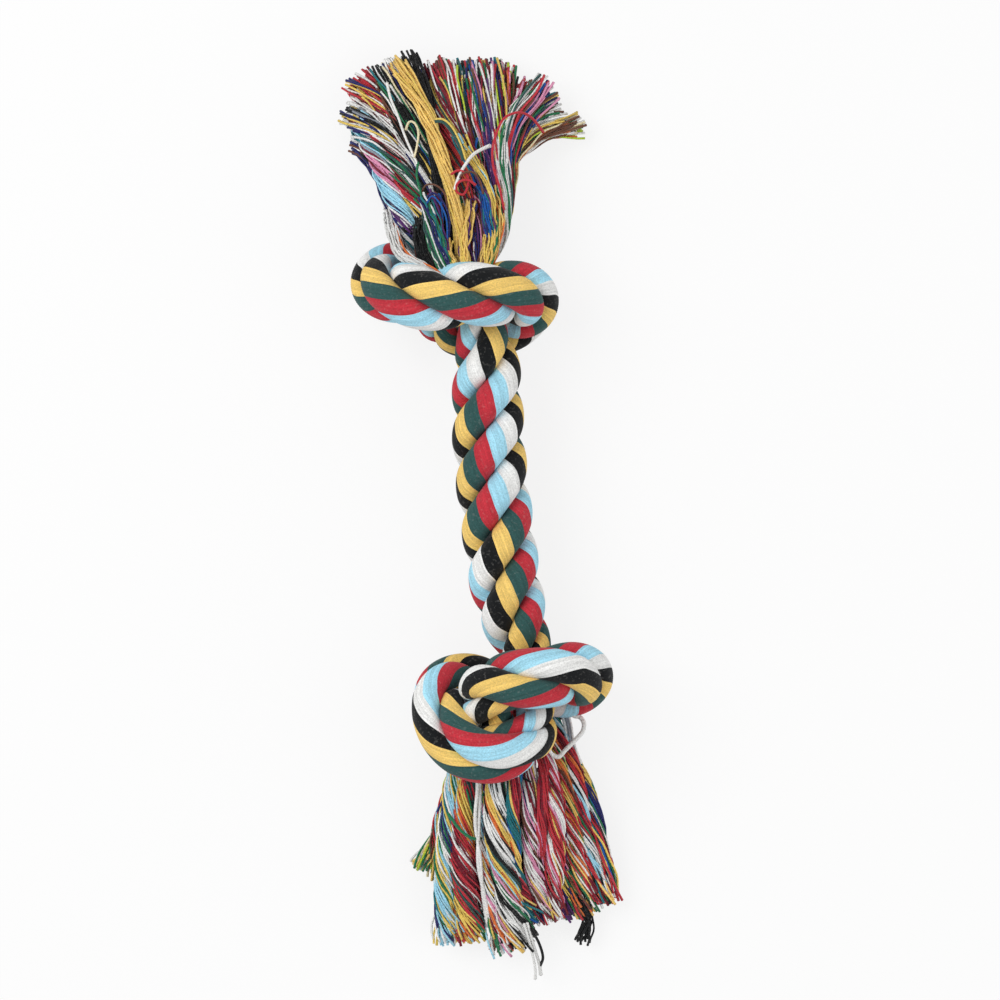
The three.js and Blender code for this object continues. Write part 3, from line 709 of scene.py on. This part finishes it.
# Locks as number of the lock, colours, radius, turns, and heights at root, crest and tip in millimetres,
# then the lock's curve from the knot to its tip, picked on the picture in pixels
UPPER_LOCKS = [
    (1, DRAPE, 2.1, 0.15, (44, 39, 20), [(446, 284), (430, 273), (415, 265), (404, 257), (398, 247),
     (395, 234), (394, 220), (392, 206)]),
    (1, NAVY, 2.3, 0.5, (22, 21, 6), [(440, 274), (419, 257), (406, 240), (398, 224), (390, 203),
     (383, 180), (373, 159), (362, 146), (349, 138)]),
    (2, SKY, 3.6, 1.7, (25, 28, 12), [(440, 276), (418, 247), (407, 224), (397, 202), (388, 181),
     (380, 160), (371, 140), (361, 124), (350, 110)]),
    (2, WHITE_GREEN_RED, 3.8, 1.2, (25, 29, 11), [(450, 276), (436, 236), (424, 213), (412, 191),
     (400, 170), (388, 150), (373, 130), (359, 114), (348, 102)]),
    (3, REDS, 3.9, 0.8, (24, 25, 8), [(452, 276), (437, 225), (428, 198), (418, 174), (407, 150),
     (395, 126), (381, 106), (367, 90), (353, 76)]),
    (3, BLACK_AND_WHITE, 3.1, 0.8, (25, 28, 11), [(455, 276), (441, 222), (433, 194), (424, 168),
     (413, 145), (402, 120), (393, 97), (386, 78), (381, 60)]),
    (4, BLACK_AND_GREEN, 3.1, 0.8, (25, 28, 11), [(457, 276), (445, 220), (439, 190), (431, 166),
     (422, 143), (412, 118), (402, 93), (394, 72), (388, 56)]),
    (3, GREEN, 3.1, 0.3, (40, 40, 31), [(454, 284), (443, 262), (438, 243), (435, 226), (433, 211),
     (430, 197)]),
    (3, BLACK, 2.8, 0.2, (40, 36, 24), [(452, 286), (434, 268), (425, 252), (422, 236), (426, 217),
     (431, 196)]),
    (4, YELLOW, 2.2, 1.1, (34, 37, 15), [(462, 282), (460, 256), (460, 236), (457, 215), (452, 195),
     (446, 174), (440, 154), (432, 131), (423, 108), (412, 86), (403, 68), (396, 54)]),
    (4, BLACK, 2, 0.4, (29, 32, 13), [(460, 282), (454, 250), (449, 225), (445, 204), (440, 182),
     (437, 160), (435, 136), (430, 112), (423, 88), (414, 68), (406, 50)]),
    (5, RED_AND_GREEN, 3.6, 1.2, (25, 30, 10), [(466, 278), (465, 232), (466, 206), (464, 184), (458, 158),
     (450, 133), (445, 108), (441, 83), (438, 57)]),
    (5, YELLOW, 1.3, 0.3, (42, 41, 36), [(466, 282), (456, 270), (450, 260), (447, 249), (448, 240)]),
    (6, GREEN_LINES, 3.6, 0.7, (25, 28, 10), [(470, 278), (471, 228), (470, 196), (467, 165), (463, 135),
     (458, 105), (456, 80), (457, 58)]),
    (6, YELLOW_LOOP, 1.8, 0.3, (42, 40, 33), [(468, 284), (465, 264), (465, 248), (467, 232), (470, 218),
     (471, 203)]),
    (7, MIXED, 3.6, 0.8, (23, 26, 8), [(475, 278), (482, 225), (481, 190), (478, 155), (475, 120),
     (470, 88), (468, 58)]),
    (7, MIXED, 3.3, 0.8, (23, 26, 8), [(480, 278), (492, 220), (493, 185), (492, 150), (492, 118),
     (494, 86), (496, 57)]),
    (8, BLUE, 2.1, 0.7, (33, 37, 28), [(482, 278), (490, 245), (489, 220), (487, 200), (482, 182),
     (474, 165), (467, 150), (464, 134)]),
    (8, NAVY_LINES, 2.9, 1.2, (26, 30, 11), [(478, 278), (480, 222), (480, 192), (478, 165), (477, 140),
     (477, 115), (478, 88), (480, 58)]),
    (8, PINK_AND_WHITE, 2.1, 1, (26, 31, 12), [(482, 278), (488, 222), (489, 192), (488, 165), (487, 140),
     (487, 115), (487, 88), (486, 60)]),
    (9, PURPLE, 2.6, 0.7, (36, 36, 26), [(474, 284), (476, 256), (478, 234), (479, 212), (475, 193),
     (468, 178)]),
    (9, LIME_LINES, 3.1, 0.7, (25, 29, 10), [(484, 276), (496, 215), (497, 180), (498, 148), (500, 116),
     (502, 86), (504, 58)]),
    (10, YELLOW_LINED, 2.9, 0.35, (42, 38, 28), [(474, 284), (485, 266), (491, 248), (494, 230),
     (494, 212), (491, 192)]),
    (10, BROWN_AND_RED, 3.3, 0.8, (24, 27, 9), [(484, 274), (501, 212), (502, 178), (504, 148), (509, 122),
     (518, 98), (530, 80)]),
    (11, LIME, 2.9, 0.7, (23, 24, 5), [(484, 272), (504, 212), (507, 182), (511, 158), (522, 142),
     (540, 130), (561, 123), (583, 119)]),
    (11, FAN, 2.8, 0.8, (24, 26, 9), [(484, 272), (503, 215), (506, 184), (509, 156), (516, 134),
     (529, 116), (545, 103), (560, 94)]),
    (12, GREEN_AND_WHITE, 2.8, 0.7, (25, 30, 12), [(484, 274), (501, 236), (504, 208), (503, 182),
     (502, 156), (507, 132), (518, 111), (533, 93), (549, 77)]),
    # Painted shade: three wide dark locks under the others, for the shaded depth between the locks
    (2, DARK, 4.9, 0.3, (20, 18, 7), [(450, 272), (424, 215), (408, 180), (393, 148), (378, 118),
     (366, 96)]),
    (5, DARK, 4.9, 0.3, (21, 20, 7), [(464, 274), (452, 215), (445, 175), (438, 135), (430, 98),
     (424, 64)]),
    (7, DARK, 4.9, 0.3, (21, 20, 7), [(478, 274), (486, 215), (488, 175), (490, 135), (491, 98),
     (492, 66)]),
]
LOWER_LOCKS = [
    (1, PASTEL, 2.6, 1.2, (18, 15, 5), [(468, 748), (454, 776), (448, 798), (443, 820), (435, 845),
     (427, 862), (418, 874)]),
    (1, PASTEL, 2, 1.2, (17, 13, 4), [(468, 750), (454, 780), (448, 806), (443, 832), (438, 858),
     (434, 885)]),
    (2, SKY_AND_YELLOW, 3.1, 2, (20, 23, 8), [(472, 744), (457, 770), (452, 795), (448, 825), (445, 855),
     (444, 885), (445, 915), (448, 948)]),
    (3, RED_AND_YELLOW, 4.2, 1.7, (20, 23, 8), [(482, 744), (470, 770), (465, 795), (462, 822), (461, 850),
     (463, 878), (467, 908), (470, 945)]),
    (4, WHITE_AND_PINK, 3.3, 1.6, (20, 23, 8), [(494, 745), (491, 772), (489, 800), (488, 830), (489, 860),
     (493, 890), (498, 920), (504, 957)]),
    (5, MIXED, 3.9, 1, (17, 16, 5), [(486, 745), (479, 775), (477, 805), (477, 840), (478, 875),
     (479, 912)]),
    (6, WHITE, 4.2, 1.5, (25, 29, 9), [(502, 742), (498, 768), (496, 792), (496, 818), (499, 846),
     (504, 876), (511, 908), (521, 950)]),
    # Painted shade: a wide dark lock low among the others, for the shaded depth between the locks
    (7, DARK, 4.6, 0.5, (18, 17, 5), [(520, 740), (520, 768), (520, 800), (521, 835), (525, 870),
     (532, 900), (540, 926)]),
    (8, TEAL_TWIST, 2.6, 1.9, (26, 30, 10), [(520, 738), (517, 764), (514, 788), (512, 816), (512, 844),
     (515, 870), (522, 896), (534, 924)]),
    (8, MAUVE, 3.1, 1.4, (26, 26, 8), [(526, 738), (529, 764), (529, 790), (529, 816), (531, 842),
     (535, 870), (541, 900), (546, 924)]),
    (9, RED, 2.1, 1.2, (20, 28, 10), [(532, 734), (541, 756), (544, 782), (542, 810), (541, 840),
     (538, 872), (536, 908)]),
    (10, PINK_TWIST, 3.1, 1.8, (16, 26, 8), [(534, 730), (545, 754), (552, 782), (556, 812), (556, 842),
     (554, 872), (553, 900), (553, 925)]),
    (11, OLIVE, 3.6, 1.3, (13, 17, 5), [(540, 724), (552, 750), (560, 774), (565, 798), (570, 828),
     (576, 860), (582, 890), (589, 920)]),
    (11, PURPLE, 3.3, 1, (13, 17, 4), [(540, 735), (550, 765), (555, 800), (559, 835), (563, 868),
     (568, 896), (573, 923)]),
    (11, BLACK, 1.5, 0.2, (12, 10, 4), [(574, 858), (580, 884), (585, 904), (588, 920), (587, 934),
     (582, 949)]),
    (12, SKY_AND_RED, 3.1, 1.5, (11, 15, 6), [(546, 708), (557, 728), (566, 750), (573, 772), (578, 797),
     (583, 824), (588, 852), (594, 880), (600, 912)]),
    (12, YELLOW_AND_GREEN, 2.6, 1.2, (11, 13, 6), [(544, 712), (557, 735), (568, 754), (578, 771),
     (586, 789), (593, 812), (600, 843), (606, 876), (611, 908)]),
]

# Single yarns that lie over the locks: number of the lock, colour, radius and curve, with its height. The
# upper ones are picked on the picture in pixels.
UPPER_STRAYS = [
    (6, "white", 0.5, [(455, 192, 38), (460, 180, 38), (466, 167, 37), (473, 157, 36), (482, 151, 34),
     (491, 147, 32)]),
    (4, "cream", 0.4, [(414, 160, 33), (418, 146, 32), (419, 133, 32), (415, 124, 31), (409, 124, 30),
     (406, 131, 30)]),
    (12, "red", 0.4, [(504, 212, 33), (499, 190, 35), (494, 170, 35), (493, 152, 34), (496, 135, 33),
     (503, 121, 32), (513, 114, 30), (523, 113, 27), (533, 118, 23), (543, 130, 18)]),
    (5, "red", 0.35, [(452, 178, 38), (458, 174, 38), (466, 177, 38), (469, 188, 38), (464, 197, 38),
     (457, 194, 38), (459, 186, 39), (468, 183, 39), (476, 188, 38)]),
    (5, "brown", 0.35, [(458, 182, 38), (466, 176, 39), (474, 176, 38), (480, 184, 37), (483, 197, 36)]),
    (3, "navy", 0.3, [(448, 262, 35), (450, 240, 38), (449, 220, 39), (443, 203, 38), (434, 196, 37),
     (427, 201, 35), (424, 216, 33)]),
    (3, "royal", 0.3, [(446, 262, 36), (448, 240, 39), (446, 220, 40), (440, 205, 39), (433, 199, 38),
     (428, 206, 36)]),
    (3, "brown", 0.35, [(448, 210, 37), (444, 196, 37), (436, 187, 36), (427, 187, 34), (422, 195, 32)]),
    (2, "green", 0.35, [(424, 214, 34), (421, 196, 34), (418, 178, 33), (418, 164, 32)]),
    (3, "white", 0.45, [(419, 168, 32), (412, 154, 32), (405, 137, 31), (397, 116, 29), (391, 98, 26),
     (387, 82, 22)]),
    (5, "bottle", 0.5, [(464, 164, 36), (459, 148, 36), (451, 133, 35), (443, 124, 33), (436, 123, 31)]),
    (5, "yellow", 0.35, [(466, 163, 36), (461, 146, 36), (452, 130, 35), (443, 121, 33), (435, 121, 31)]),
]
# The lower ones are sideways and outwards from the knot's middle, in millimetres
LOWER_STRAYS = [
    (4, "white", 0.55, [(-15, 13, 27), (-15.5, 22, 29), (-18, 34, 28), (-18, 46, 24), (-19, 58, 18),
     (-19, 70, 12)]),
    (4, "white", 0.55, [(-14, 13, 27), (-15, 24, 28), (-17, 36, 27), (-19, 48, 23), (-18.5, 60, 17),
     (-18, 71, 11)]),
    (2, "navy", 0.4, [(-25, 24, 19), (-28, 27, 16), (-31, 32, 12), (-32, 36, 11), (-30, 39, 14)]),
    (3, "green", 0.5, [(-26.5, 30, 27), (-23, 36, 29), (-20, 39, 28), (-17, 40, 24)]),
    (6, "white", 0.5, [(-7, 70, 19), (-6, 78, 14), (-5.5, 86, 9), (-6, 90, 6)]),
    (6, "white", 0.5, [(-6, 70, 18), (-5, 78, 13), (-4, 85, 8), (-4, 89, 5)]),
    (6, "black", 0.5, [(-5, 72, 17), (-3, 78, 13), (-2.5, 83, 10), (-4, 86, 7)]),
]
# Three yarns side by side at the tassel's edge
EDGE_YARN = [(15.5, 1, 12), (17, 4.5, 13), (17.5, 8, 14), (17.5, 12, 15), (18, 16.5, 15), (19, 21, 14)]
LOWER_STRAYS += [
    (12, colour, 0.5, [(sideways - shift, outwards, height) for sideways, outwards, height in EDGE_YARN])
    for shift, colour in enumerate(("white", "grey", "white"))
]

LOCK_CREST = 0.3  # share of a lock's length at which it is highest
LOCK_FALL = 1.3  # the higher, the later a lock falls from there


def picked(pixels, knot_y, outwards):
    """Places picked on the picture as sideways and outwards from a knot's middle, in rounded millimetres:
    the pixels from KNOT_PIXEL, turned as the toy lies. What follows a place is kept."""
    pixels = np.array(pixels, float)
    right, down = (pixels[:, :2] - KNOT_PIXEL).T
    sideways = PIXEL_STRAIGHT * right - PIXEL_SLANT * down
    along = KNOT_PIXEL_ALONG - PIXEL_SLANT * right - PIXEL_STRAIGHT * down
    from_knot = outwards * (along + (UPPER_KNOT_Y - knot_y) / MM)
    places = np.column_stack([sideways, from_knot])
    return np.hstack([np.round(PICKS_PER_MM * places) / PICKS_PER_MM, pixels[:, 2:]])


def all_picked(rows, knot_y, outwards):
    """Locks or single yarns with their curves, which come last, as places beside the knot."""
    return [(*row[:-1], picked(row[-1], knot_y, outwards)) for row in rows]


def beside_tassel(curve, knot_y, outwards):
    """A yarn's curve as places in metres."""
    route = np.array(curve, float) * MM
    route[:, 0] += KNOT_X
    route[:, 1] = knot_y + outwards * route[:, 1]
    return route


def lock_curve(heights, curve):
    """A lock's curve with heights: it rises to its crest by a quarter sine and then falls to its tip, ever
    more steeply."""
    run = lengths_along(np.array(curve, float))
    share = run / run[-1]
    root, crest, tip = heights
    rise = np.sin(np.pi / 2 * np.minimum(1, share / LOCK_CREST))
    fall = np.maximum(0, (share - LOCK_CREST) / (1 - LOCK_CREST)) ** LOCK_FALL
    return np.column_stack([curve, root + (crest - root) * rise + (tip - crest) * fall])


def make_tassel(end, knot_y, outwards, locks, strays, seed):
    """The locks of one tassel with the single yarns that lie over them, one piece for each number of lock."""
    random = np.random.default_rng(seed)
    for number in sorted({lock[0] for lock in locks}):
        bundles = []
        for _, recipe, radius, turns, heights, curve in (lock for lock in locks if lock[0] == number):
            route = beside_tassel(lock_curve(heights, curve), knot_y, outwards)
            lines, around = bundle_lines(route, radius * MM, turns, random)
            bundles.append((lines, bundle_colours(recipe, around, random), YARN_RADIUS))
        for _, colour, radius, curve in (stray for stray in strays if stray[0] == number):
            line = stray_line(beside_tassel(curve, knot_y, outwards))
            bundles.append((line, linear(PALETTE[colour])[None], radius * MM))
        name = f"{end}_lock_{number:02d}"
        piece = yarn_piece(name + "_yarns", bundles, YARN_COTTON, random)
        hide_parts(name)
        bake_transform(piece)


NECK_RADIUS = 3.8 * MM
NECK_TURNS = 0.1
NECK_FLATNESS = 1.3


def make_necks(end, outwards, rope_end, inside, seed):
    """The unlaid strand ends in a tassel's root, from inside the knot to their places on the neck."""
    random = np.random.default_rng(seed)
    for strand, letter in enumerate(STRAND_NAMES):
        name = f"{end}_neck_strand_{letter}"
        low, high = (np.array(corner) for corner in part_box(name))
        face = (low + high) / 2
        face[1] = (high if outwards > 0 else low)[1]
        start, middle = strand_centres(strand, np.array([inside, rope_end]))[0]
        route = [start, middle, face]
        lines, around = bundle_lines(route, NECK_RADIUS, NECK_TURNS, random, NECK_FLATNESS)
        colours = bundle_colours(DARK, around, random)
        piece = yarn_piece(name + "_yarns", [(lines, colours, YARN_RADIUS)], YARN_COTTON, random)
        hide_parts(name)
        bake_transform(piece)


LOOSE_YARN_RADIUS = 0.75 * MM
LOOSE_YARN_SIDES = 10


def make_loose_yarn():
    """The white yarn pulled out of the lower knot: a tube along its chosen points."""
    route = beside_knot(LOOSE_YARN_ROUTE, LOWER_KNOT_Y)
    line = through(route, ROUTE_SPAN_STEPS)
    points, faces, uvs = tubes_along(line[None], LOOSE_YARN_RADIUS, LOOSE_YARN_SIDES, PLY_PITCH)
    white = linear(PALETTE["white"])
    colours = [np.tile(white, (group.size, 1)) for group in faces]
    piece = make_piece("loose_white_yarn", points, faces, uvs, colours, YARN_COTTON)
    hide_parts("loose_yarn")
    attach(piece, "lower_knot")


make_rope()
make_loose_yarn()
make_necks("upper", 1, rope_end=0.0, inside=STRAND_TRIM, seed=21)
make_necks("lower", -1, rope_end=ROPE_LENGTH, inside=ROPE_LENGTH - STRAND_TRIM, seed=22)
UPPER_CURVES = [all_picked(rows, UPPER_KNOT_Y, 1) for rows in (UPPER_LOCKS, UPPER_STRAYS)]
make_tassel("upper", UPPER_KNOT_Y, 1, *UPPER_CURVES, seed=31)
LOWER_CURVES = all_picked(LOWER_LOCKS, LOWER_KNOT_Y, -1)
make_tassel("lower", LOWER_KNOT_Y, -1, LOWER_CURVES, LOWER_STRAYS, seed=32)

# Stage and light
WORLD_LIGHT = 0.62
WHITE_LIGHT = (1.0, 1.0, 1.0, 1.0)
FLOOR_COLOUR = (0.86, 0.86, 0.86, 1.0)
FLOOR_GLOW = 0.8  # how much of the floor is plain white to the camera
FLOOR_HALF = 4.0
FLOOR_HEIGHT = -0.3 * MM  # a little below the toy, whose soft parts may dip under its base


def seen_directly(tree):
    """Socket that is 1 for rays of the camera, of mirrors and of glass, and 0 for rays that only light."""
    ray = node(tree, "ShaderNodeLightPath")
    socket = ray.outputs["Is Camera Ray"]
    for kind in ("Is Glossy Ray", "Is Transmission Ray"):
        either = node(tree, "ShaderNodeMath", operation="MAXIMUM")
        tree.links.new(socket, either.inputs[0])
        tree.links.new(ray.outputs[kind], either.inputs[1])
        socket = either.outputs["Value"]
    return socket


def make_stage():
    """A wide pale floor that stays white to the camera and keeps a soft shadow."""
    mesh = bpy.data.meshes.new("floor")
    sides = ((-1, -1), (1, -1), (1, 1), (-1, 1))
    corners = [(x * FLOOR_HALF, y * FLOOR_HALF, FLOOR_HEIGHT) for x, y in sides]
    mesh.from_pydata(corners, [], [(0, 1, 2, 3)])
    floor = bpy.data.objects.new("floor", mesh)
    bpy.context.scene.collection.objects.link(floor)
    material = bpy.data.materials.new("pale_floor")
    material.use_nodes = True
    tree = material.node_tree
    tree.nodes.clear()
    link = linker(tree)
    output = node(tree, "ShaderNodeOutputMaterial")
    matte = node(tree, "ShaderNodeBsdfDiffuse", Color=FLOOR_COLOUR)
    glow = node(tree, "ShaderNodeEmission", Color=WHITE_LIGHT, Strength=1.0)
    share = node(tree, "ShaderNodeMath", operation="MULTIPLY")
    share.inputs[1].default_value = FLOOR_GLOW
    mix = node(tree, "ShaderNodeMixShader")
    tree.links.new(seen_directly(tree), share.inputs[0])
    link(share, "Value", mix, "Fac")
    link(matte, "BSDF", mix, 1)
    link(glow, "Emission", mix, 2)
    link(mix, "Shader", output, "Surface")
    mesh.materials.append(material)


def make_light():
    """Even light from all round with a wide lamp from the upper left and a weaker one opposite."""
    world = bpy.data.worlds.new("studio")
    world.use_nodes = True
    tree = world.node_tree
    background = tree.nodes["Background"]
    background.inputs["Color"].default_value = WHITE_LIGHT
    strength = map_range(tree, (0.0, 1.0), (WORLD_LIGHT, 1.0))
    tree.links.new(seen_directly(tree), strength.inputs["Value"])
    tree.links.new(strength.outputs["Result"], background.inputs["Strength"])
    bpy.context.scene.world = world
    for name, place, size, power in (
        ("key_lamp", (-0.7, 0.5, 1.1), 0.9, 9.0),
        ("fill_lamp", (0.9, -0.4, 0.9), 1.1, 3.5),
    ):
        data = bpy.data.lights.new(name, "AREA")
        data.size = size
        data.energy = power
        lamp = bpy.data.objects.new(name, data)
        lamp.location = place
        aim = -lamp.location
        lamp.rotation_euler = aim.to_track_quat("-Z", "Y").to_euler()
        bpy.context.scene.collection.objects.link(lamp)


make_stage()
make_light()
bpy.context.scene.view_settings.view_transform = "Standard"
